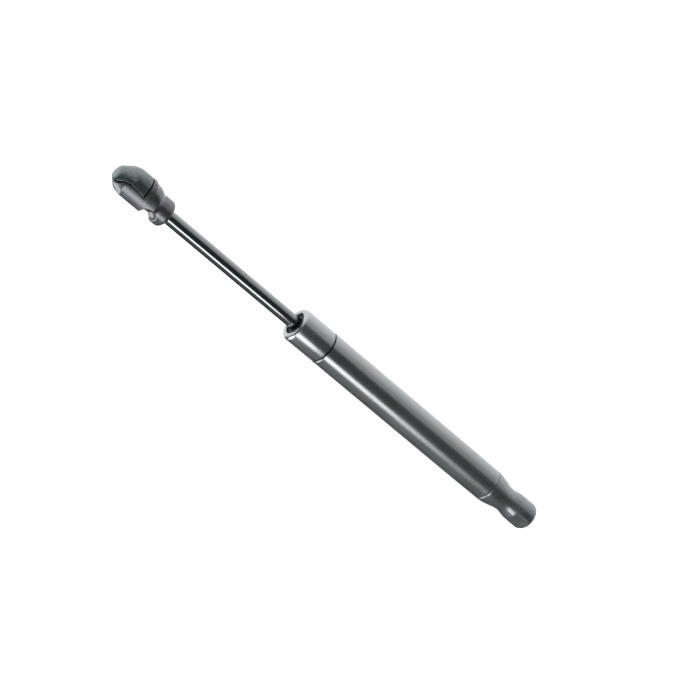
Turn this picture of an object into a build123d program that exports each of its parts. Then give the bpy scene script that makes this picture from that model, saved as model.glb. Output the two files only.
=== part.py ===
from build123d import *
import math
import os

# Gas strut stay, drawn fully extended. All sizes are in millimetres.
# The X axis is the strut's axis, from the tube end to the rod end. The origin is the
# centre of the tube end's ball socket, whose mouth faces -Z.

# ---- driving dimensions ---------------------------------------------------------------

# pressure tube
tube_diameter = 15.0
tube_wall = 1.0
tube_length = 116.6
tube_lip_radius = 1.6            # rounding where the rod end is rolled in
tube_mouth_radius = 4.9          # opening left around the rod
tube_tail_mouth_radius = 5.4     # opening left around the plug's stud
tube_swage_length = 9.0          # stretch squeezed a little over the end plug
tube_swage_depth = 0.1
stop_groove_depth = 0.5          # rolled groove that holds the guide pack and stops the piston
stop_groove_width = 1.3

# piston rod
rod_diameter = 6.0
rod_visible = 72.7               # bright rod between tube and rod socket, fully extended
rod_thread_diameter = 5.0
rod_thread_length = 7.0
rod_tenon_diameter = 4.0
rod_rivet_radius = 2.9
rod_rivet_length = 1.5
rod_thread_chamfer = 0.5

# guide pack, from the tube's mouth inwards
wiper_length = 1.6
seal_length = 4.2
backup_length = 1.4
guide_length = 6.6
retainer_length = 0.7
retainer_clearance = 0.2         # retaining ring around the rod
ring_chamfer = 0.3
pack_gap = 0.35                  # guide pack to the rolled groove
wiper_lip_clearance = 0.06

# piston group
damping_disc_thickness = 0.6
disc_clearance = 0.5             # disc to the tube's bore
piston_length = 5.0
piston_clearance = 0.25
piston_ring_length = 2.2
piston_ring_depth = 1.3
piston_ring_slit = 0.4
piston_washer_thickness = 0.7
piston_washer_step = 0.6         # washer inside the ring groove's floor
passage_radius = 0.5             # holes that let the gas past the piston
passage_count = 3
passage_from_edge = 1.2
stop_gap = 0.2                   # piston to stop groove when extended

# end plug
plug_length = 8.0
plug_stud_diameter = 6.0
plug_stud_length = 11.0
plug_chamfer = 0.6
o_ring_section = 1.7

# ball sockets for an 8 mm ball
ball_diameter = 8.0
ball_clearance = 0.05
mouth_rim = 0.4                  # how far the mouth's face stands past the ball
mouth_lead_in = 0.3
snap_ring_wire = 0.9
snap_ring_from_mouth = 1.2
snap_ring_seat = 0.1             # wire to the cup's bore
snap_ring_opening = 40.0         # degrees left open for the pliers

# tube end socket
tube_socket_reach = 19.9         # ball centre to the tube
tube_socket_tip = 7.05           # ball centre to the blunt end
tube_socket_wall = 2.25
tube_socket_neck_radius = 5.65
tube_socket_neck_x = 6.9
tube_socket_corner = 3.0
tube_socket_flat_wall = 1.1      # left between the cup and the flat on the closed side
tube_socket_flat_start = 2.8     # where the flat steps up to the round neck
tube_socket_flat_slant = 0.5
tube_socket_throat = 2.5         # slope behind the mouth's face, past the neck

# rod end socket
rod_socket_turn = 117.0          # mouth direction, turned about the strut from the tube socket's
rod_socket_nose = 6.75           # cup to the tip
rod_socket_rear = 17.3
rod_socket_wall = 2.55           # cup to the flanks
rod_socket_dome = 4.2            # cup to the top of the domed back
rod_collar_radius = 6.0
rod_collar_length = 4.8
rod_collar_edge = 1.8
rod_neck_radius = 5.85
rod_neck_back = 11.1             # ball centre to the narrowest part of the neck
rod_shoulder = (4.95, 1.40)      # behind the cup and below the dome's top, where the body
rod_back = (1.35, 0.70)          # swells up towards the cap
rod_heel_wall = 1.45             # cup to the rear corner of the mouth's face
rod_throat_wall = 2.45           # cup to the hollow between the heel and the collar
rod_throat_step = 0.85           # hollow's front end above the mouth's face
rod_throat_middle = 9.9
rod_throat_floor = 3.4
rod_throat_end = 12.9
rod_throat_run_out = 0.2
rod_scoop = (9.5, 6.5, 4.4)      # ball pressed into each flank behind the cup: back, out, down
rod_scoop_radius = 4.0
nose_shares = ((0.50, 0.870), (0.78, 0.625))  # nose outline, as shares of tip and dome
nose_flat_radius = 1.2           # small flat left at the very tip
nose_chamfer = 2.6

# locking cap on the back of the rod socket
cap_rear = 2.0                   # ball centre to the cap's rear edge
cap_gap = 0.7                    # gap behind the cap, where a screwdriver lifts it
cap_seam = 0.3                   # gap along the cap's lower edge
cap_swing_gap = 0.7              # wider gap in front, for the cap to swing
cap_rear_edge_height = 1.6       # lower edge above the ball centre, at the rear
cap_edge_height = 2.5            # and at its highest
cap_edge_back = 0.25             # where the lower edge begins to curve down, behind the cup's end
cap_cheek = (3.75, 1.25)         # the lower edge in front, ahead of the cup and above its centre
cap_toe = (5.25, -0.3)
cap_inner_wall = 1.2             # cup wall under the cap
cap_inner_clearance = 0.15
cap_pin_from_tip = 2.3
cap_pin_z = 2.0
cap_pin_diameter = 1.0
cap_pin_half_length = 3.6
cap_lug_radius = 1.05
cap_lug_width = 4.8
cap_lug_root = 0.4               # lug's rear face, ahead of the cup
cap_lug_foot = 0.5               # lug's foot, behind the pin
cap_recess_depth = 1.25
cap_recess_length = 3.6
cap_recess_fall = 10.0           # degrees the recess leans in towards the dome
cap_recess_taper = 13.0          # degrees its floor rises towards the nose
cap_pad_back = 0.35              # raised pad's front edge, behind the cup's end
cap_pad_lift = 0.2               # pad's lower corner above the cap's edge

# fits
running_clearance = 0.05
seat_clearance = 0.03
thread_clearance = 0.05
snap_groove_clearance = 0.15
stud_end_gap = 0.6               # plug's stud to the bottom of its thread
rod_end_gap = 0.4                # rod to the bottom of its thread
cut_margin = 1.0                 # how far a cut starts outside what it cuts

# ---- places along the strut -----------------------------------------------------------

tube_radius = tube_diameter / 2
tube_bore = tube_radius - tube_wall
rod_radius = rod_diameter / 2
ball_bore = ball_diameter / 2 + ball_clearance
mouth_depth = ball_diameter / 2 + mouth_rim
tube_socket_radius = ball_bore + tube_socket_wall
tube_socket_flat = ball_bore + tube_socket_flat_wall
half_width = ball_bore + rod_socket_wall
rod_socket_width = 2 * half_width
rod_socket_back = ball_bore + rod_socket_dome
rod_socket_tip = ball_bore + rod_socket_nose
dome_radius = ball_bore + cap_inner_wall
rod_heel_back = ball_bore + rod_heel_wall
rod_throat_back = ball_bore + rod_throat_wall
rod_throat_depth = mouth_depth - rod_throat_step
cap_edge_front = ball_bore - cap_edge_back
cap_cheek_x = ball_bore + cap_cheek[0]
cap_toe_x = ball_bore + cap_toe[0]
cap_pad_front = ball_bore - cap_pad_back
cap_pin_x = rod_socket_tip - cap_pin_from_tip
tube_rear = tube_socket_reach
tube_front = tube_rear + tube_length
rod_socket_start = tube_front + rod_visible
rod_ball_x = rod_socket_start + rod_socket_rear
mouth_inner = tube_front - tube_wall
wiper_rear = mouth_inner - wiper_length
seal_rear = wiper_rear - seal_length
backup_rear = seal_rear - backup_length
guide_rear = backup_rear - guide_length
retainer_rear = guide_rear - retainer_length
stop_x = retainer_rear - pack_gap - stop_groove_width / 2
disc_front = stop_x - stop_groove_width / 2 - stop_gap
piston_front = disc_front - damping_disc_thickness
piston_rear = piston_front - piston_length
washer_rear = piston_rear - piston_washer_thickness
rivet_rear = washer_rear - rod_rivet_length
plug_rear = tube_rear + tube_wall
plug_front = plug_rear + plug_length

turn_angle = math.radians(rod_socket_turn)
rod_socket_out = (0, -math.sin(turn_angle), math.cos(turn_angle))
rod_socket_flank = (0, -math.cos(turn_angle), -math.sin(turn_angle))
rod_plan = Plane((rod_ball_x, 0, 0), x_dir=(1, 0, 0), z_dir=rod_socket_out)
rod_side = Plane((rod_ball_x, 0, 0), x_dir=(1, 0, 0), z_dir=rod_socket_flank)
rod_far_side = rod_side.offset(-rod_socket_width)


def turned(*points):
    """A closed outline of (x, radius) points, ready to revolve about the strut's axis."""
    with BuildSketch(Plane.XZ) as outline:
        with BuildLine():
            Polyline(*points, close=True)
        make_face()
    return outline.sketch


def sleeve(rear, front, inner, outer):
    """The outline of a plain ring between two places along the strut."""
    return turned((rear, inner), (front, inner), (front, outer), (rear, outer))


def save(node, label):
    """Write one finished piece."""
    node.part.label = label
    export_step(node.part, f"parts/{label}.step")
    print(f"{label}: {node.part.volume:.1f} mm3, {len(node.part.solids())} solid")


os.makedirs("parts", exist_ok=True)

# ---- pressure tube --------------------------------------------------------------------

with BuildPart() as pressure_tube:
    tail_radius = tube_radius - tube_swage_depth
    groove_floor = tube_radius - stop_groove_depth
    groove_side = stop_groove_width / 2
    with BuildSketch(Plane.XZ):
        with BuildLine():
            Polyline(
                (tube_rear, tube_tail_mouth_radius),
                (tube_rear, tail_radius - tube_wall / 2),
                (tube_rear + tube_wall / 2, tail_radius),
                (tube_rear + tube_swage_length, tail_radius),
                (tube_rear + tube_swage_length + tube_wall, tube_radius),
                (stop_x - groove_side, tube_radius),
                (stop_x, groove_floor),
                (stop_x + groove_side, tube_radius),
                (tube_front - tube_lip_radius, tube_radius),
            )
            RadiusArc(
                (tube_front - tube_lip_radius, tube_radius),
                (tube_front, tube_radius - tube_lip_radius),
                tube_lip_radius,
            )
            Polyline(
                (tube_front, tube_radius - tube_lip_radius),
                (tube_front, tube_mouth_radius),
                (mouth_inner, tube_mouth_radius),
                (mouth_inner, tube_bore - tube_lip_radius + tube_wall),
                (tube_front - tube_lip_radius, tube_bore),
                (stop_x + groove_side, tube_bore),
                (stop_x, tube_bore - stop_groove_depth),
                (stop_x - groove_side, tube_bore),
                (tube_rear + tube_swage_length + tube_wall, tube_bore),
                (tube_rear + tube_swage_length, tube_bore - tube_swage_depth),
                (plug_rear, tube_bore - tube_swage_depth),
                (plug_rear, tube_tail_mouth_radius),
                (tube_rear, tube_tail_mouth_radius),
            )
        make_face()
    revolve(axis=Axis.X)
save(pressure_tube, "pressure_tube")

# ---- end plug and its ring ------------------------------------------------------------

plug_radius = tube_bore - tube_swage_depth - seat_clearance
plug_middle = (plug_rear + plug_front) / 2
o_ring_centre = plug_radius - o_ring_section / 2
with BuildPart() as end_plug:
    revolve(sleeve(plug_rear, plug_front, 0, plug_radius), axis=Axis.X)
    revolve(sleeve(tube_rear - plug_stud_length, plug_rear, 0, plug_stud_diameter / 2), axis=Axis.X)
    revolve(
        sleeve(
            plug_middle - o_ring_section / 2 - seat_clearance,
            plug_middle + o_ring_section / 2 + seat_clearance,
            o_ring_centre - o_ring_section / 2 - seat_clearance,
            tube_radius,
        ),
        axis=Axis.X,
        mode=Mode.SUBTRACT,
    )
    chamfer(end_plug.edges().sort_by(Axis.X)[-1], plug_chamfer)
    chamfer(end_plug.edges().sort_by(Axis.X)[0], plug_chamfer)
save(end_plug, "end_plug")

with BuildPart() as end_plug_o_ring:
    with BuildSketch(Plane.XZ):
        with Locations((plug_middle, o_ring_centre)):
            Circle(o_ring_section / 2)
    revolve(axis=Axis.X)
save(end_plug_o_ring, "end_plug_o_ring")

# ---- guide pack -----------------------------------------------------------------------

pack_radius = tube_bore - seat_clearance
rod_hole = rod_radius + running_clearance

with BuildPart() as dust_wiper:
    corner = tube_lip_radius
    revolve(
        turned(
            (wiper_rear, rod_hole + wiper_length / 2),
            (mouth_inner, rod_radius + wiper_lip_clearance),
            (mouth_inner, pack_radius - corner),
            (wiper_rear, pack_radius - corner + wiper_length),
        ),
        axis=Axis.X,
    )
save(dust_wiper, "dust_wiper")

with BuildPart() as rod_seal:
    lip = seal_length / 3
    revolve(
        turned(
            (seal_rear, rod_hole),
            (seal_rear + lip, rod_hole),
            (wiper_rear - lip / 2, rod_hole + lip / 2),
            (wiper_rear, rod_hole + lip),
            (wiper_rear, pack_radius - lip / 2),
            (wiper_rear - lip / 2, pack_radius),
            (seal_rear, pack_radius),
        ),
        axis=Axis.X,
    )
    revolve(
        turned(
            (seal_rear, (rod_hole + pack_radius) / 2),
            (seal_rear, pack_radius - lip / 2),
            (seal_rear + 2 * lip, pack_radius - lip),
            (seal_rear + 2 * lip, (rod_hole + pack_radius) / 2),
        ),
        axis=Axis.X,
        mode=Mode.SUBTRACT,
    )
save(rod_seal, "rod_seal")

with BuildPart() as seal_backup_ring:
    revolve(sleeve(backup_rear, seal_rear, rod_hole, pack_radius), axis=Axis.X)
    chamfer(seal_backup_ring.edges().sort_by(Axis.X)[:2], ring_chamfer)
save(seal_backup_ring, "seal_backup_ring")

with BuildPart() as rod_guide_bush:
    waist = pack_radius - tube_wall
    revolve(sleeve(guide_rear, backup_rear, rod_hole, pack_radius), axis=Axis.X)
    third = guide_length / 3
    revolve(
        sleeve(guide_rear + third, backup_rear - third, waist, tube_radius),
        axis=Axis.X,
        mode=Mode.SUBTRACT,
    )
    chamfer(rod_guide_bush.edges().sort_by(Axis.X)[:2], ring_chamfer)
save(rod_guide_bush, "rod_guide_bush")

with BuildPart() as guide_retaining_ring:
    ring_inner = rod_radius + retainer_clearance
    revolve(sleeve(retainer_rear, guide_rear, ring_inner, pack_radius), axis=Axis.X)
save(guide_retaining_ring, "guide_retaining_ring")

# ---- piston rod and piston ------------------------------------------------------------

tenon_radius = rod_tenon_diameter / 2
rod_thread_end = rod_socket_start + rod_thread_length
with BuildPart() as piston_rod:
    revolve(sleeve(disc_front, rod_socket_start, 0, rod_radius), axis=Axis.X)
    revolve(sleeve(rod_socket_start, rod_thread_end, 0, rod_thread_diameter / 2), axis=Axis.X)
    revolve(sleeve(rivet_rear, disc_front, 0, tenon_radius), axis=Axis.X)
    chamfer(piston_rod.edges().sort_by(Axis.X)[-1], rod_thread_chamfer)
    revolve(sleeve(rivet_rear, washer_rear, 0, rod_rivet_radius), axis=Axis.X)
    fillet(piston_rod.edges().sort_by(Axis.X)[0], rod_rivet_length / 2)
save(piston_rod, "piston_rod")

piston_radius = tube_bore - piston_clearance
tenon_hole = tenon_radius + seat_clearance
ring_rear = (piston_front + piston_rear - piston_ring_length) / 2
ring_front = ring_rear + piston_ring_length
ring_groove_floor = tube_bore - piston_ring_depth

with BuildPart() as damping_disc:
    disc_radius = tube_bore - disc_clearance
    revolve(sleeve(piston_front, disc_front, tenon_hole, disc_radius), axis=Axis.X)
    with BuildSketch(Plane.YZ.offset(disc_front)):
        with PolarLocations(disc_radius - passage_from_edge, passage_count):
            Circle(passage_radius)
    extrude(amount=-damping_disc_thickness, mode=Mode.SUBTRACT)
save(damping_disc, "damping_disc")

with BuildPart() as piston_body:
    revolve(sleeve(piston_rear, piston_front, tenon_hole, piston_radius), axis=Axis.X)
    revolve(
        sleeve(ring_rear, ring_front, ring_groove_floor, tube_radius),
        axis=Axis.X,
        mode=Mode.SUBTRACT,
    )
    with BuildSketch(Plane.YZ.offset(piston_front)):
        with PolarLocations(ring_groove_floor - passage_from_edge, passage_count):
            Circle(passage_radius)
    extrude(amount=-piston_length, mode=Mode.SUBTRACT)
save(piston_body, "piston_body")

with BuildPart() as piston_ring:
    revolve(
        sleeve(
            ring_rear + running_clearance,
            ring_front - running_clearance,
            ring_groove_floor + running_clearance,
            tube_bore - running_clearance,
        ),
        axis=Axis.X,
    )
    with BuildSketch(Plane.YZ.offset(ring_rear)):
        with Locations((0, tube_bore)):
            Rectangle(piston_ring_slit, 2 * (piston_ring_depth + cut_margin))
    extrude(amount=piston_ring_length, mode=Mode.SUBTRACT)
save(piston_ring, "piston_ring")

with BuildPart() as piston_washer:
    washer_radius = ring_groove_floor - piston_washer_step
    revolve(sleeve(washer_rear, piston_rear, tenon_hole, washer_radius), axis=Axis.X)
save(piston_washer, "piston_washer")

# ---- tube end socket ------------------------------------------------------------------

with BuildPart() as tube_socket:
    tip_x = -tube_socket_tip
    head_x = tube_socket_radius / 3
    with BuildSketch(Plane.XZ):
        with BuildLine():
            shoulder = Line((tube_rear, 0), (tube_rear, tube_radius - tube_swage_depth))
            waist_line = Spline(
                shoulder @ 1,
                (tube_socket_neck_x, tube_socket_neck_radius),
                (head_x, tube_socket_radius),
                tangents=((-1, 0), (-1, 0)),
            )
            Line(waist_line @ 1, (tip_x + tube_socket_corner, tube_socket_radius))
            RadiusArc(
                (tip_x, tube_socket_radius - tube_socket_corner),
                (tip_x + tube_socket_corner, tube_socket_radius),
                tube_socket_corner,
            )
            Polyline((tip_x, tube_socket_radius - tube_socket_corner), (tip_x, 0), (tube_rear, 0))
        make_face()
    revolve(axis=Axis.X)
    # the flat on the closed side, and the face of the mouth
    with BuildSketch(Plane.XZ):
        with BuildLine():
            Polyline(
                (tip_x - cut_margin, tube_socket_flat),
                (tube_socket_flat_start - tube_socket_flat_slant, tube_socket_flat),
                (tube_socket_flat_start, tube_radius + cut_margin),
                (tip_x - cut_margin, tube_radius + cut_margin),
                close=True,
            )
        make_face()
        with BuildLine():
            Polyline(
                (tip_x - cut_margin, -mouth_depth),
                (tube_socket_radius, -mouth_depth),
                (tube_socket_neck_x + tube_socket_throat, -tube_radius - cut_margin),
                (tip_x - cut_margin, -tube_radius - cut_margin),
                close=True,
            )
        make_face()
    extrude(amount=tube_diameter, both=True, mode=Mode.SUBTRACT)
    # the ball's cup, open at the mouth
    with BuildSketch(Plane.XY):
        Circle(ball_bore)
    extrude(amount=-tube_diameter, mode=Mode.SUBTRACT)
    Sphere(ball_bore, mode=Mode.SUBTRACT)
    chamfer(
        tube_socket.edges().filter_by(GeomType.CIRCLE).group_by(Axis.Z)[0].sort_by(SortBy.RADIUS)[0],
        mouth_lead_in,
    )
    # the thread for the plug's stud
    revolve(
        sleeve(
            tube_rear - plug_stud_length - stud_end_gap,
            tube_rear,
            0,
            plug_stud_diameter / 2 + thread_clearance,
        ),
        axis=Axis.X,
        mode=Mode.SUBTRACT,
    )
    # the groove for the snap ring
    with BuildSketch(Plane.XY.offset(-mouth_depth + snap_ring_from_mouth - snap_ring_wire / 2)):
        Circle(ball_bore + snap_ring_wire + snap_groove_clearance)
    extrude(amount=snap_ring_wire, mode=Mode.SUBTRACT)
save(tube_socket, "tube_socket")


def snap_ring_wire_loop(plane):
    """The centre line of a snap ring lying on a plane, open at its far side."""
    loop_radius = ball_bore + snap_ring_wire / 2 + snap_ring_seat
    with BuildLine(plane) as loop:
        CenterArc((0, 0), loop_radius, snap_ring_opening / 2, 360 - snap_ring_opening)
    return loop.line


ring_height = -mouth_depth + snap_ring_from_mouth
ring_section = snap_ring_wire / 2 - seat_clearance
with BuildPart() as tube_socket_snap_ring:
    tube_loop = snap_ring_wire_loop(Plane.XY.offset(ring_height))
    with BuildSketch(Plane(tube_loop @ 0, z_dir=tube_loop % 0)):
        Circle(ring_section)
    sweep(path=tube_loop)
save(tube_socket_snap_ring, "tube_socket_snap_ring")

# ---- rod end socket -------------------------------------------------------------------

rod_place = rod_plan.location


def cap_region(rear_gap, seam, swing_gap):
    """The side outline of the space that the locking cap takes, grown by its gaps."""
    top = rod_socket_back + cut_margin
    rear = -cap_rear - rear_gap
    aslant = swing_gap * math.sqrt(0.5)
    toe = (cap_toe_x - aslant, cap_toe[1] - aslant)
    with BuildSketch(rod_far_side) as region:
        with BuildLine():
            lower = Line(
                (rear, cap_rear_edge_height - seam),
                (cap_edge_front - seam, cap_edge_height - seam),
            )
            cheek = Spline(
                lower @ 1,
                (cap_cheek_x - aslant, cap_cheek[1] - aslant),
                toe,
                tangents=(lower % 1, (1, -1)),
            )
            Polyline(
                cheek @ 1,
                (toe[0] + rod_socket_tip, toe[1] - rod_socket_tip),
                (toe[0] + rod_socket_tip, top),
                (rear, top),
                lower @ 0,
            )
        make_face()
    return region.sketch


def rod_head_blank():
    """The outside of the rod end socket before the cap is parted from it."""
    with BuildPart() as blank:
        # turned about the strut's axis: collar, neck and egg
        neck_x = rod_ball_x - rod_neck_back
        swell_x = rod_ball_x - ball_bore
        nose_points = [
            (rod_ball_x + along * rod_socket_tip, up * rod_socket_back) for along, up in nose_shares
        ]
        with BuildSketch(Plane.XZ):
            with BuildLine():
                collar_face = Line(
                    (rod_socket_start, 0),
                    (rod_socket_start, rod_collar_radius - rod_collar_edge),
                )
                RadiusArc(
                    collar_face @ 1,
                    (rod_socket_start + rod_collar_edge, rod_collar_radius),
                    rod_collar_edge,
                )
                collar = Line(
                    (rod_socket_start + rod_collar_edge, rod_collar_radius),
                    (rod_socket_start + rod_collar_length, rod_collar_radius),
                )
                shoulder = Spline(
                    collar @ 1,
                    (neck_x, rod_neck_radius),
                    (swell_x - rod_shoulder[0], rod_socket_back - rod_shoulder[1]),
                    (swell_x - rod_back[0], rod_socket_back - rod_back[1]),
                    (rod_ball_x, rod_socket_back),
                    tangents=((1, 0), (1, 0)),
                )
                nose = Spline(
                    shoulder @ 1,
                    *nose_points,
                    (rod_ball_x + rod_socket_tip, nose_flat_radius),
                    tangents=((1, 0), (0, -1)),
                )
                Polyline(nose @ 1, (rod_ball_x + rod_socket_tip, 0), collar_face @ 0)
            make_face()
        revolve(axis=Axis.X)
        # the flanks, pressed in to an oval section
        with BuildSketch(Plane((rod_socket_start, 0, 0), x_dir=rod_socket_flank, z_dir=(1, 0, 0))):
            Ellipse(half_width, rod_socket_back)
        extrude(amount=rod_socket_rear + rod_socket_tip, mode=Mode.INTERSECT)
        # the hollow behind the heel, the face of the mouth, and the chamfered nose
        with BuildSketch(rod_far_side):
            with BuildLine():
                throat = ThreePointArc(
                    (-rod_throat_end, -rod_collar_radius - rod_throat_run_out),
                    (-rod_throat_middle, -rod_throat_floor),
                    (-rod_throat_back, -rod_throat_depth),
                )
                Polyline(
                    throat @ 1,
                    (-rod_heel_back, -mouth_depth),
                    (rod_socket_tip - nose_chamfer, -mouth_depth),
                    (rod_socket_tip + mouth_depth - nose_chamfer, 0),
                    (rod_socket_tip + mouth_depth, -2 * mouth_depth),
                    (-rod_throat_end, -2 * mouth_depth),
                    throat @ 0,
                )
            make_face()
        extrude(amount=2 * rod_socket_width, mode=Mode.SUBTRACT)
        # a scoop low on each flank, between the cup and the collar
        back, out, down = rod_scoop
        with Locations(rod_place):
            with Locations((-back, out, -down), (-back, -out, -down)):
                Sphere(rod_scoop_radius, mode=Mode.SUBTRACT)
    return blank.part


rod_blank = rod_head_blank()
lug_half = cap_lug_width / 2

with BuildPart() as rod_socket:
    add(rod_blank)
    extrude(
        cap_region(cap_gap, cap_seam, cap_swing_gap),
        amount=2 * rod_socket_width,
        dir=rod_side.z_dir,
        mode=Mode.SUBTRACT,
    )
    with Locations(rod_place):
        Sphere(dome_radius)
    # lug that carries the cap's pin
    with BuildSketch(rod_side):
        with Locations((cap_pin_x, cap_pin_z)):
            Circle(cap_lug_radius)
        with BuildLine():
            Polyline(
                (ball_bore + cap_lug_root, cap_pin_z + cap_lug_radius),
                (cap_pin_x, cap_pin_z + cap_lug_radius),
                (cap_pin_x + cap_lug_radius, cap_pin_z),
                (cap_pin_x - cap_lug_foot, cap_toe[1] - cut_margin),
                (ball_bore + cap_lug_root, cap_toe[1] - cut_margin),
                close=True,
            )
        make_face()
    extrude(amount=lug_half, both=True)
    # the ball's cup, open at the mouth
    with BuildSketch(rod_plan):
        Circle(ball_bore)
    extrude(amount=-rod_socket_width, mode=Mode.SUBTRACT)
    with Locations(rod_place):
        Sphere(ball_bore, mode=Mode.SUBTRACT)
    with BuildSketch(rod_plan.offset(-mouth_depth)):
        Circle(ball_bore + mouth_lead_in)
    extrude(amount=mouth_lead_in, taper=45, mode=Mode.SUBTRACT)
    # the groove for the snap ring
    with BuildSketch(rod_plan.offset(ring_height - snap_ring_wire / 2)):
        Circle(ball_bore + snap_ring_wire + snap_groove_clearance)
    extrude(amount=snap_ring_wire, mode=Mode.SUBTRACT)
    # the pin's hole and the thread for the rod
    with BuildSketch(rod_side):
        with Locations((cap_pin_x, cap_pin_z)):
            Circle(cap_pin_diameter / 2)
    extrude(amount=rod_socket_width, both=True, mode=Mode.SUBTRACT)
    revolve(
        sleeve(
            rod_socket_start,
            rod_thread_end + rod_end_gap,
            0,
            rod_thread_diameter / 2 + thread_clearance,
        ),
        axis=Axis.X,
        mode=Mode.SUBTRACT,
    )
save(rod_socket, "rod_socket")

with BuildPart() as rod_socket_snap_ring:
    rod_loop = snap_ring_wire_loop(rod_plan.offset(ring_height))
    with BuildSketch(Plane(rod_loop @ 0, z_dir=rod_loop % 0)):
        Circle(ring_section)
    sweep(path=rod_loop)
save(rod_socket_snap_ring, "rod_socket_snap_ring")

with BuildPart() as cap_pin:
    with BuildSketch(rod_side):
        with Locations((cap_pin_x, cap_pin_z)):
            Circle(cap_pin_diameter / 2)
    extrude(amount=cap_pin_half_length, both=True)
save(cap_pin, "cap_pin")

# ---- locking cap ----------------------------------------------------------------------

with BuildPart() as locking_cap:
    add(rod_blank)
    extrude(
        cap_region(0, 0, 0),
        amount=2 * rod_socket_width,
        dir=rod_side.z_dir,
        mode=Mode.INTERSECT,
    )
    with Locations(rod_place):
        Sphere(dome_radius + cap_inner_clearance, mode=Mode.SUBTRACT)
    # the slot that clears the lug, open below
    slot_radius = cap_lug_radius + cap_inner_clearance
    slot_top = cap_pin_z + slot_radius
    slot_front = cap_pin_x + slot_radius
    slot_turn = slot_radius * math.sqrt(0.5)
    with BuildSketch(rod_side):
        with BuildLine():
            Line((0, slot_top), (cap_pin_x, slot_top))
            ThreePointArc(
                (cap_pin_x, slot_top),
                (cap_pin_x + slot_turn, cap_pin_z + slot_turn),
                (slot_front, cap_pin_z),
            )
            Polyline(
                (slot_front, cap_pin_z),
                (slot_front, -mouth_depth - cut_margin),
                (0, -mouth_depth - cut_margin),
                (0, slot_top),
            )
        make_face()
    extrude(amount=lug_half + cap_inner_clearance, both=True, mode=Mode.SUBTRACT)
    with BuildSketch(rod_side):
        with Locations((cap_pin_x, cap_pin_z)):
            Circle(cap_pin_diameter / 2 + running_clearance)
    extrude(amount=cap_pin_half_length + cap_inner_clearance, both=True, mode=Mode.SUBTRACT)
    # a thumb recess in front of the raised pad, on each flank
    for side in (-1, 1):
        corner_place = Location(
            rod_side.offset(side * (half_width - cap_recess_depth)).from_local_coords(
                (cap_pad_front, cap_edge_height + cap_pad_lift, 0)
            )
        )
        corner = Plane(corner_place.position, x_dir=rod_side.x_dir, z_dir=rod_side.z_dir)
        with BuildSketch(corner.rotated((-side * cap_recess_fall, -side * cap_recess_taper, 0))):
            with BuildLine():
                Polyline(
                    (0, 0),
                    (cap_recess_length, 0),
                    (0, cap_recess_length),
                    close=True,
                )
            make_face()
        extrude(amount=side * half_width, mode=Mode.SUBTRACT)
save(locking_cap, "locking_cap")
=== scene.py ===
import math

import bmesh
import bpy
from mathutils import Matrix, Vector


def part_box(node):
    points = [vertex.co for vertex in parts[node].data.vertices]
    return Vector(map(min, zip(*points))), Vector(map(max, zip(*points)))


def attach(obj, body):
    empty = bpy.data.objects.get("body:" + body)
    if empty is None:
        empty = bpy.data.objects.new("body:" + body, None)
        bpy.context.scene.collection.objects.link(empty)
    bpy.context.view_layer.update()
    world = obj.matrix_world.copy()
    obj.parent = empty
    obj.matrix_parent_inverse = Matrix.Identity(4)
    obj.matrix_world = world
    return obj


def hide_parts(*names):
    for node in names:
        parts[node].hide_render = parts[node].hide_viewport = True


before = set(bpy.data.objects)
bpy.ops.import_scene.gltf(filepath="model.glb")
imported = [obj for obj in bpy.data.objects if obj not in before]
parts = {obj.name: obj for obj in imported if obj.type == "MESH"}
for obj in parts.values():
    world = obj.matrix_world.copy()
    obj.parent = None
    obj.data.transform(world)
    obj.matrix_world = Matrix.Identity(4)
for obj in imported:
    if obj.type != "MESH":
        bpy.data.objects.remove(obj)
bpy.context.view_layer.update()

scene = bpy.context.scene
same_place = 1e-6

# ---- camera ---------------------------------------------------------------------------
# A long lens a good metre away, rolled so that the strut runs from the upper left to the lower
# right of the frame. The rod end leans a little towards the lens.

lean = math.radians(27.5)
roll = math.radians(40.14)
lens_distance = 1.23
lens_length = 157.2
film_width = 36.0
aim_along = 0.1235
aim_right = 0.0133
aim_up = -0.0034
lens_side = Vector((0, -1, 1)).normalized()
lens_under = Vector((0, 1, 1)).normalized()
axis_seen = math.sin(lean) * lens_side - math.cos(lean) * Vector((1, 0, 0))
towards = math.sin(lean) * Vector((1, 0, 0)) + math.cos(lean) * lens_side
right = math.cos(roll) * axis_seen - math.sin(roll) * lens_under
up = -math.sin(roll) * axis_seen - math.cos(roll) * lens_under
aim = Vector((aim_along, 0, 0)) + aim_right * right + aim_up * up

lens = bpy.data.cameras.new("camera")
lens.lens = lens_length
lens.sensor_width = film_width
lens.clip_start = 0.01
lens.clip_end = 40.0
camera = bpy.data.objects.new("camera", lens)
turn = Matrix((right, up, towards)).transposed()
camera.matrix_world = Matrix.Translation(aim + lens_distance * towards) @ turn.to_4x4()
scene.collection.objects.link(camera)
scene.camera = camera
scene.view_settings.view_transform = "Standard"


def add_node(tree, kind, **values):
    """A new shader node with some of its inputs set by name."""
    node = tree.nodes.new(kind)
    for name, value in values.items():
        node.inputs[name.replace("_", " ")].default_value = value
    return node


def ramp(tree, source, *stops):
    """A colour ramp over a value, from (place, grey or colour) stops."""
    node = tree.nodes.new("ShaderNodeValToRGB")
    band = node.color_ramp.elements
    while len(band) < len(stops):
        band.new(0.5)
    for stop, (place, shade) in zip(band, stops):
        colour = shade if isinstance(shade, tuple) else (shade, shade, shade)
        stop.position = place
        stop.color = (*colour, 1)
    tree.links.new(source, node.inputs["Fac"])
    return node.outputs["Color"]


# ---- studio floor and light -----------------------------------------------------------
# A pale matte floor well below the strut, which hangs clear of it as on a thin stand. The floor also
# glows as painted light, brightest in a band beside the strut and dimmer away from it.
# Long soft boxes run beside the strut, so that its round steel carries clean bands, and a
# squarer one past the rod end lights the fittings.

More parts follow.
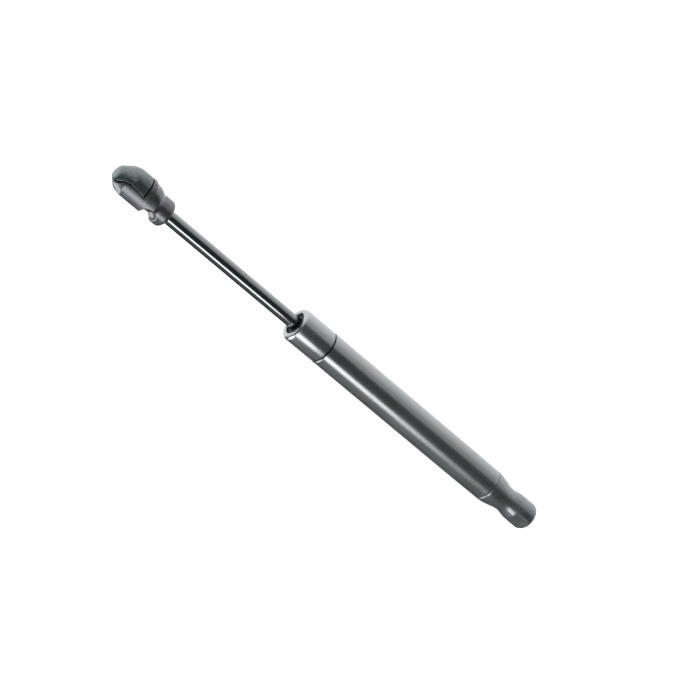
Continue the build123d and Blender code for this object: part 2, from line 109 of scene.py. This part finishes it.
floor_drop = 0.30
floor_half = 8.0
floor_middle = 0.1
floor_glow = 0.85
floor_fade = 3.0

floor_mesh = bmesh.new()
bmesh.ops.create_grid(floor_mesh, x_segments=8, y_segments=8, size=floor_half)
bmesh.ops.translate(floor_mesh, verts=floor_mesh.verts, vec=(floor_middle, 0, -floor_drop))
floor_data = bpy.data.meshes.new("floor")
floor_mesh.to_mesh(floor_data)
floor_mesh.free()
floor = bpy.data.objects.new("floor", floor_data)
scene.collection.objects.link(floor)

floor_finish = bpy.data.materials.new("glowing_floor_paper")
floor_finish.use_nodes = True
tree = floor_finish.node_tree
paper = tree.nodes["Principled BSDF"]
paper.inputs["Base Color"].default_value = (0.8, 0.8, 0.8, 1)
paper.inputs["Roughness"].default_value = 0.9
paper.inputs["Emission Strength"].default_value = floor_glow
place = tree.nodes.new("ShaderNodeTexCoord")
split = tree.nodes.new("ShaderNodeSeparateXYZ")
depth = add_node(tree, "ShaderNodeMapRange", From_Min=-floor_fade, From_Max=floor_fade)
tree.links.new(place.outputs["Object"], split.inputs[0])
tree.links.new(split.outputs["Y"], depth.inputs["Value"])
# Painted light: the floor glows in a bright band along Y beside the strut and fades on either side.
floor_glow_band = ramp(tree, depth.outputs[0], (0.0, 0.45), (0.40, 0.62), (0.47, 1.0), (0.62, 1.0), (0.72, 0.2))
tree.links.new(floor_glow_band, paper.inputs["Emission Color"])
floor_data.materials.append(floor_finish)

surround = bpy.data.worlds.new("studio")
surround.use_nodes = True
sky = surround.node_tree.nodes["Background"]
sky.inputs["Color"].default_value = (0.86, 0.95, 1.0, 1)
sky.inputs["Strength"].default_value = 0.07
scene.world = surround


def soft_box(name, place, target, length, width, glow):
    """A rectangular studio light, its long side along the strut, facing the target."""
    light = bpy.data.lights.new(name, "AREA")
    light.shape = "RECTANGLE"
    light.size = length
    light.size_y = width
    light.energy = glow * math.pi * length * width
    lamp = bpy.data.objects.new(name, light)
    back = (Vector(place) - Vector(target)).normalized()
    rise = back.cross(Vector((1, 0, 0))).normalized()
    side = rise.cross(back).normalized()
    facing = Matrix((side, rise, back)).transposed()
    lamp.matrix_world = Matrix.Translation(place) @ facing.to_4x4()
    scene.collection.objects.link(lamp)


soft_box(
    "overhead_strip", (0.24, -0.03, 0.90), target=(0.24, 0, 0), length=1.27, width=0.39, glow=4.0
)
soft_box("far_fill", (-0.30, 0.75, 0.95), target=(0.05, 0, 0), length=2.4, width=1.1, glow=0.16)
soft_box("front_card", (-0.30, -1.70, 0.04), target=(0.05, 0, 0), length=3.0, width=0.30, glow=0.6)
soft_box("side_box", (0.42, 0.68, 0.62), target=(0.02, 0, 0), length=0.9, width=0.7, glow=4.2)

# ---- pressure tube --------------------------------------------------------------------
# Drawn steel tube in grey semi-gloss lacquer over its fine drawing lines. Its front end is
# rolled in around the guide pack and its rear end over the end plug. A near-black painted shade line
# runs along the groove.

tube_low, tube_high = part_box("pressure_tube")
tube_rear = tube_low[0]
tube_front = tube_high[0]
tube_radius = tube_high[2]
tube_wall = 0.0010
tube_swage_depth = 0.0001
tube_swage_end = tube_rear + 0.0090
tube_swage_fade = 0.0060
tube_tail_straight = 0.0020
tube_mouth = 0.0049
tube_tail_mouth = 0.0054
groove_x = tube_front - 0.0165
groove_half = 0.0006
groove_depth = 0.0005
groove_shade_half = 0.0005


def new_finish(name, metal, rough):
    """A new finish with its shader, ready for its grain and wear."""
    finish = bpy.data.materials.new(name)
    finish.use_nodes = True
    tree = finish.node_tree
    shader = tree.nodes["Principled BSDF"]
    shader.inputs["Metallic"].default_value = metal
    shader.inputs["Roughness"].default_value = rough
    return finish, tree, shader


def grain(tree, scale, stretch=(1, 1, 1), detail=3.0):
    """Noise over the piece, with so many grains to the metre, stretched along its axes."""
    place = tree.nodes.new("ShaderNodeTexCoord")
    spread = add_node(tree, "ShaderNodeMapping", Scale=stretch)
    noise = add_node(tree, "ShaderNodeTexNoise", Scale=scale, Detail=detail)
    tree.links.new(place.outputs["Object"], spread.inputs["Vector"])
    tree.links.new(spread.outputs["Vector"], noise.inputs["Vector"])
    return noise.outputs["Fac"]


def edges(tree, low=0.50, high=0.60):
    """How far a spot stands out as a worn edge, from 0 to 1."""
    shape = tree.nodes.new("ShaderNodeNewGeometry")
    return ramp(tree, shape.outputs["Pointiness"], (low, 0.0), (high, 1.0))


def mixed(tree, amount, first, second):
    """One colour laid over another by an amount."""
    mix = tree.nodes.new("ShaderNodeMix")
    mix.data_type = "RGBA"
    tree.links.new(amount, mix.inputs["Factor"])
    for socket, colour in ((mix.inputs[6], first), (mix.inputs[7], second)):
        if isinstance(colour, tuple):
            socket.default_value = (*colour, 1)
        else:
            tree.links.new(colour, socket)
    return mix.outputs[2]


def relief(tree, shader, *layers):
    """Bumps from (height, depth in metres) layers, each over the last."""
    under = None
    for height, depth in layers:
        bump = add_node(tree, "ShaderNodeBump", Strength=1.0, Distance=depth)
        tree.links.new(height, bump.inputs["Height"])
        if under:
            tree.links.new(under, bump.inputs["Normal"])
        under = bump.outputs["Normal"]
    tree.links.new(under, shader.inputs["Normal"])


def ring_of(name, outline, rounding, steps=128):
    """An (x, radius) outline turned about the strut's axis, its rings rounded.

    An outline that begins on the axis is left open along it, and closes in a point there.
    """
    mesh = bmesh.new()
    corners = [mesh.verts.new((x, 0, radius)) for x, radius in outline]
    onwards = corners[1:]
    if outline[0][1] > 0:
        onwards = onwards + corners[:1]
    rims = [mesh.edges.new(pair) for pair in zip(corners, onwards)]
    bmesh.ops.spin(
        mesh,
        geom=corners + rims,
        cent=(0, 0, 0),
        axis=(1, 0, 0),
        angle=2 * math.pi,
        steps=steps,
        use_merge=True,
    )
    bmesh.ops.remove_doubles(mesh, verts=mesh.verts, dist=same_place)
    for (x, radius), size in zip(outline, rounding):
        ring = [edge for edge in mesh.edges if all(on_ring(v, x, radius) for v in edge.verts)]
        if size and ring:
            bmesh.ops.bevel(
                mesh,
                geom=ring,
                offset=size,
                affect="EDGES",
                segments=4,
                profile=0.5,
                material=-1,
            )
    bmesh.ops.recalc_face_normals(mesh, faces=mesh.faces)
    for face in mesh.faces:
        face.smooth = True
    data = bpy.data.meshes.new(name)
    mesh.to_mesh(data)
    mesh.free()
    piece = bpy.data.objects.new(name, data)
    scene.collection.objects.link(piece)
    return piece


def on_ring(vert, x, radius):
    """Whether a point lies on the ring at that place."""
    out = math.hypot(vert.co.y, vert.co.z)
    return abs(vert.co.x - x) < same_place and abs(out - radius) < same_place


tail_radius = tube_radius - tube_swage_depth
bore = tube_radius - tube_wall
tube_outline = (
    (tube_rear, tube_tail_mouth),
    (tube_rear, tail_radius),
    (tube_rear + tube_tail_straight, tail_radius),
    (tube_swage_end + tube_swage_fade, tube_radius),
    (groove_x - groove_half, tube_radius),
    (groove_x, tube_radius - groove_depth),
    (groove_x + groove_half, tube_radius),
    (tube_front, tube_radius),
    (tube_front, tube_mouth),
    (tube_front - tube_wall, tube_mouth),
    (tube_front - tube_wall, bore),
    (groove_x + groove_half, bore),
    (groove_x, bore - groove_depth),
    (groove_x - groove_half, bore),
    (tube_swage_end + tube_wall, bore),
    (tube_swage_end, bore - tube_swage_depth),
    (tube_rear + tube_wall, bore - tube_swage_depth),
    (tube_rear + tube_wall, tube_tail_mouth),
)
tube_rounding = (
    0.0002, 0.0006, 0.0010, 0.0020, 0.00015, 0.00020, 0.00015, 0.0015, 0.0004,
    0.0003, 0.0010, 0, 0, 0, 0, 0, 0.0003, 0.0002,
)


def band_at(tree, middle, half):
    """1 in a thin band about a place along the strut, 0 outside it."""
    place = tree.nodes.new("ShaderNodeTexCoord")
    split = tree.nodes.new("ShaderNodeSeparateXYZ")
    span = add_node(tree, "ShaderNodeMapRange", From_Min=middle - half, From_Max=middle + half)
    tree.links.new(place.outputs["Object"], split.inputs[0])
    tree.links.new(split.outputs["X"], span.inputs["Value"])
    return ramp(tree, span.outputs[0], (0.0, 0.0), (0.25, 1.0), (0.75, 1.0), (1.0, 0.0))


tube_finish, tree, shader = new_finish("tube_lacquer", 0.90, 0.28)
shader.inputs["Coat Weight"].default_value = 0.15
shader.inputs["Coat Roughness"].default_value = 0.18
draw_lines = grain(tree, 1.0, (30, 2200, 2200), 2)
clouds = grain(tree, 90.0, (0.5, 1, 1), 4)
flecks = grain(tree, 3200.0, detail=2)
lacquer = ramp(tree, clouds, (0.30, (0.245, 0.262, 0.272)), (0.70, (0.285, 0.300, 0.308)))
streaked = mixed(tree, ramp(tree, draw_lines, (0.56, 0.0), (0.74, 0.5)), lacquer, (0.36, 0.37, 0.37))
dusted = mixed(tree, ramp(tree, flecks, (0.62, 0.0), (0.78, 0.45)), streaked, (0.17, 0.18, 0.185))
rubbed = mixed(tree, edges(tree, 0.505, 0.56), dusted, (0.50, 0.51, 0.50))
# Painted shade: the lacquer turns near black in a thin band along the groove.
groove_shaded = mixed(tree, band_at(tree, groove_x, groove_shade_half), rubbed, (0.010, 0.011, 0.011))
tree.links.new(groove_shaded, shader.inputs["Base Color"])
tree.links.new(ramp(tree, clouds, (0.25, 0.22), (0.75, 0.33)), shader.inputs["Roughness"])
relief(tree, shader, (draw_lines, 0.0000005), (flecks, 0.0000020))

pressure_tube = ring_of("lacquered_tube", tube_outline, tube_rounding)
pressure_tube.data.materials.append(tube_finish)
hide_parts("pressure_tube")
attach(pressure_tube, "tube")

# ---- end plug and tube socket ---------------------------------------------------------
# The plug is turned steel with a rubber ring, and the tube is rolled over it. Its stud
# screws into the socket, a die casting left as it comes from the mould, tumbled smooth.

cast_voxel = 0.00018
tube_socket_tumbling = 12


def cast_copy(name, node, voxel, passes):
    """An evenly meshed copy of a CAD piece, its edges softened as on a casting."""
    mesh = bmesh.new()
    mesh.from_mesh(parts[node].data)
    bmesh.ops.remove_doubles(mesh, verts=mesh.verts, dist=same_place)
    data = bpy.data.meshes.new(name)
    mesh.to_mesh(data)
    mesh.free()
    piece = bpy.data.objects.new(name, data)
    scene.collection.objects.link(piece)
    skin = piece.modifiers.new("even_skin", "REMESH")
    skin.mode = "VOXEL"
    skin.voxel_size = voxel
    skin.use_smooth_shade = True
    tumbled = piece.modifiers.new("tumbled_edges", "SMOOTH")
    tumbled.factor = 0.5
    tumbled.iterations = passes
    shape = piece.evaluated_get(bpy.context.evaluated_depsgraph_get())
    piece.data = bpy.data.meshes.new_from_object(shape)
    piece.modifiers.clear()
    piece.data.materials.clear()
    return piece


def casting_finish(name, dark, light, worn):
    """Satin zinc casting: a fine grain, faint flow marks, and edges rubbed bright."""
    finish, tree, shader = new_finish(name, 0.88, 0.34)
    flow = grain(tree, 260.0, (0.6, 1, 1), 5)
    mottle = grain(tree, 1100.0, detail=4)
    pores = grain(tree, 4200.0, detail=3)
    shadow = tuple(channel * 0.6 for channel in dark)
    toned = ramp(tree, flow, (0.30, dark), (0.70, light))
    clouded = mixed(tree, ramp(tree, mottle, (0.45, 0.0), (0.70, 0.55)), toned, shadow)
    pitted = mixed(tree, ramp(tree, pores, (0.60, 0.0), (0.76, 0.5)), clouded, shadow)
    tree.links.new(mixed(tree, edges(tree, 0.56, 0.70), pitted, worn), shader.inputs["Base Color"])
    tree.links.new(ramp(tree, flow, (0.25, 0.27), (0.75, 0.41)), shader.inputs["Roughness"])
    relief(tree, shader, (flow, 0.000014), (mottle, 0.000006), (pores, 0.0000045))
    return finish


socket_finish = casting_finish(
    "socket_casting", (0.240, 0.252, 0.265), (0.310, 0.320, 0.332), (0.50, 0.51, 0.51)
)
tube_socket = cast_copy("tube_socket_casting", "tube_socket", cast_voxel, tube_socket_tumbling)
tube_socket.data.materials.append(socket_finish)
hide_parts("tube_socket")
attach(tube_socket, "tube")


def turned_steel(name, shade, rough):
    """Plain steel with fine turning rings and a film of oil."""
    finish, tree, shader = new_finish(name, 1.0, rough)
    rings = grain(tree, 1.0, (9000, 500, 500), 2)
    film = grain(tree, 400.0, detail=3)
    metal = ramp(tree, rings, (0.35, tuple(c * 0.7 for c in shade)), (0.65, shade))
    oiled = mixed(tree, ramp(tree, film, (0.45, 0.0), (0.70, 0.5)), metal, (0.20, 0.19, 0.16))
    tree.links.new(
        mixed(tree, edges(tree, 0.52, 0.62), oiled, (0.75, 0.75, 0.74)), shader.inputs["Base Color"]
    )
    tree.links.new(ramp(tree, film, (0.3, rough), (0.7, rough + 0.15)), shader.inputs["Roughness"])
    relief(tree, shader, (rings, 0.000003))
    return finish


def black_rubber(name, shade):
    """Nitrile rubber with a fine moulded skin and a trace of dust."""
    finish, tree, shader = new_finish(name, 0.0, 0.6)
    skin = grain(tree, 5000.0, detail=3)
    dust = grain(tree, 300.0, detail=5)
    dusty = ramp(tree, dust, (0.45, shade), (0.75, tuple(c * 2.2 for c in shade)))
    tree.links.new(
        mixed(tree, ramp(tree, skin, (0.6, 0.0), (0.8, 0.5)), dusty, (0.06, 0.06, 0.058)),
        shader.inputs["Base Color"],
    )
    tree.links.new(ramp(tree, dust, (0.3, 0.5), (0.7, 0.72)), shader.inputs["Roughness"])
    relief(tree, shader, (skin, 0.000006))
    return finish


def paint(node, finish):
    """Give a CAD piece its finish."""
    parts[node].data.materials.clear()
    parts[node].data.materials.append(finish)


plug_steel = turned_steel("turned_steel", (0.52, 0.53, 0.54), 0.28)
rubber = black_rubber("nitrile_rubber", (0.014, 0.014, 0.015))
paint("end_plug", plug_steel)
paint("end_plug_o_ring", rubber)

# ---- guide pack -----------------------------------------------------------------------
# Held between the tube's mouth and the rolled groove: a rubber wiper, a lip seal with a
# hard backing ring, a moulded nylon bush that guides the rod, and a steel washer.


def moulded_plastic(name, shade, rough):
    """Glass-filled plastic: cloudy colour, a fine moulded grain and paler edges."""
    finish, tree, shader = new_finish(name, 0.0, rough)
    cloud = grain(tree, 500.0, detail=4)
    fibres = grain(tree, 1.0, (900, 6000, 6000), 3)
    body = ramp(tree, cloud, (0.3, tuple(c * 0.8 for c in shade)), (0.7, shade))
    streaked = mixed(tree, ramp(tree, fibres, (0.62, 0.0), (0.8, 0.3)), body, (0.3, 0.3, 0.29))
    tree.links.new(
        mixed(tree, edges(tree, 0.52, 0.64), streaked, tuple(min(1, c * 2.5) for c in shade)),
        shader.inputs["Base Color"],
    )
    tree.links.new(ramp(tree, cloud, (0.3, rough), (0.7, rough + 0.15)), shader.inputs["Roughness"])
    relief(tree, shader, (cloud, 0.000006), (fibres, 0.000003))
    return finish


nylon = moulded_plastic("glass_filled_nylon", (0.045, 0.046, 0.048), 0.42)
paint("dust_wiper", black_rubber("wiper_rubber", (0.010, 0.010, 0.011)))
paint("rod_seal", rubber)
paint("seal_backup_ring", moulded_plastic("backing_ring_plastic", (0.35, 0.33, 0.27), 0.4))
paint("rod_guide_bush", nylon)
paint("guide_retaining_ring", plug_steel)

# ---- piston rod and piston ------------------------------------------------------------
# The rod is ground steel under hard chrome, with rings of grinding lines too fine to feel.
# The piston, its disc and washer are riveted to its inner end, with a plastic ring.

rod_low, rod_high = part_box("piston_rod")
rod_radius = 0.0030
rod_thread_radius = 0.0025
rod_thread_length = 0.0070
rod_tenon_radius = 0.0020
rod_rivet_radius = 0.0029
rod_rivet_length = 0.0015
disc_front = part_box("damping_disc")[1][0]
rod_shoulder = rod_high[0] - rod_thread_length
rod_rear = rod_low[0]
rod_outline = (
    (rod_rear, 0),
    (rod_rear, rod_rivet_radius),
    (rod_rear + rod_rivet_length, rod_rivet_radius),
    (rod_rear + rod_rivet_length, rod_tenon_radius),
    (disc_front, rod_tenon_radius),
    (disc_front, rod_radius),
    (rod_shoulder, rod_radius),
    (rod_shoulder, rod_thread_radius),
    (rod_high[0], rod_thread_radius),
    (rod_high[0], 0),
)
rod_rounding = (0, 0.0007, 0.0002, 0, 0, 0.0002, 0.0001, 0, 0.0004, 0)

chrome, tree, shader = new_finish("hard_chrome", 1.0, 0.10)
grinding = grain(tree, 1.0, (14000, 700, 700), 3)
scuffs = grain(tree, 1.0, (60, 3500, 3500), 4)
haze = grain(tree, 220.0, (0.4, 1, 1), 4)
bright = ramp(tree, grinding, (0.30, (0.205, 0.220, 0.220)), (0.70, (0.265, 0.280, 0.280)))
scuffed = mixed(tree, ramp(tree, scuffs, (0.60, 0.0), (0.75, 0.5)), bright, (0.34, 0.35, 0.35))
tree.links.new(
    mixed(tree, edges(tree, 0.52, 0.60), scuffed, (0.45, 0.46, 0.46)), shader.inputs["Base Color"]
)
tree.links.new(ramp(tree, haze, (0.30, 0.06), (0.70, 0.13)), shader.inputs["Roughness"])
relief(tree, shader, (grinding, 0.0000004), (scuffs, 0.0000005))

piston_rod = ring_of("chromed_rod", rod_outline, rod_rounding)
piston_rod.data.materials.append(chrome)
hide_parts("piston_rod")
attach(piston_rod, "rod")

paint("damping_disc", nylon)
paint("piston_body", plug_steel)
paint("piston_ring", moulded_plastic("piston_ring_plastic", (0.10, 0.075, 0.05), 0.35))
paint("piston_washer", plug_steel)

# ---- rod socket and its locking cap ---------------------------------------------------
# The rod screws into a second casting. The domed cap on its back hinges on a pin in the
# nose, and a screwdriver in the gap behind it lifts it to let the ball go.

rod_socket_tumbling = 20
cap_voxel = 0.00010
cap_tumbling = 10
head_finish = casting_finish(
    "rod_socket_casting", (0.132, 0.140, 0.150), (0.185, 0.191, 0.204), (0.46, 0.47, 0.48)
)
cap_finish = casting_finish(
    "locking_cap_casting", (0.140, 0.168, 0.168), (0.195, 0.224, 0.224), (0.50, 0.52, 0.52)
)
rod_socket = cast_copy("rod_socket_casting_body", "rod_socket", cast_voxel, rod_socket_tumbling)
rod_socket.data.materials.append(head_finish)
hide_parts("rod_socket")
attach(rod_socket, "rod")

locking_cap = cast_copy("locking_cap_shell", "locking_cap", cap_voxel, cap_tumbling)
locking_cap.data.materials.append(cap_finish)
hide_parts("locking_cap")
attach(locking_cap, "cap")

# ---- snap rings and pin ---------------------------------------------------------------
# Round spring wire in each cup's groove, which closes under the ball, and the cap's pin.

wire_steel = turned_steel("spring_wire", (0.62, 0.63, 0.64), 0.2)
paint("tube_socket_snap_ring", wire_steel)
paint("rod_socket_snap_ring", wire_steel)
paint("cap_pin", wire_steel)
